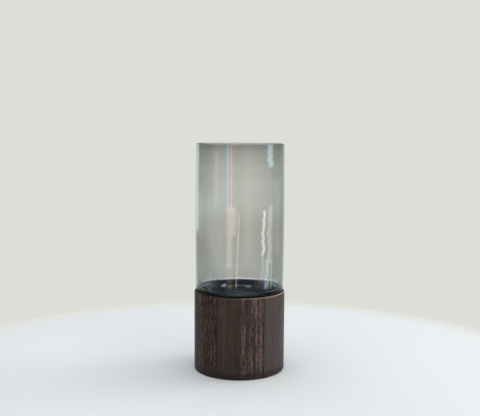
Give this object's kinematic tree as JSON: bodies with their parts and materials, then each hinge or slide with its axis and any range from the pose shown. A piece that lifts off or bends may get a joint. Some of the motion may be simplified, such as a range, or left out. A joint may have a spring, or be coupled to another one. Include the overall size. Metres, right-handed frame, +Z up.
{
  "type": "glass vase with wooden base",
  "caption": "Tall cylinder vase of smoked glass whose stepped foot drops into a turned dark wood base, with a black seat ring between them.",
  "frame": {"origin": "centre of the underside of the felt, on the surface that the vase stands on", "axes": "+Z up along the turning axis; +X to the right and -Y towards the viewer, with the board joints running front to back"},
  "size_m": [0.1, 0.1, 0.25],
  "materials": {
    "wood_flamed": "dark oiled hardwood, wavy figure, satin",
    "wood_plain": "dark oiled hardwood, plain, satin",
    "wood_striped": "dark oiled hardwood, striped grain, satin",
    "wood_greyed": "dark oiled hardwood, greyer, satin",
    "felt": "pressed wool felt",
    "silicone": "matt black silicone",
    "smoked_glass": "clear grey glass, blown, polished rim"
  },
  "bodies": {
    "base": {"base_board_1": "wood_flamed", "base_board_2": "wood_plain", "base_board_3": "wood_striped", "base_board_4": "wood_greyed", "base_felt": "felt"},
    "seat": {"seat_ring": "silicone"},
    "vase": {"glass_vase": "smoked_glass"}
  },
  "joints": [
    {"name": "vase_turn", "type": "hinge", "parent": "base", "child": "seat", "pos_m": [0, 0, 0.0885], "axis": [0, 0, 1], "continuous": true},
    {"name": "vase_lift", "type": "slide", "parent": "seat", "child": "vase", "axis": [0, 0, 1], "range_m": [0, 0.04]}
  ]
}
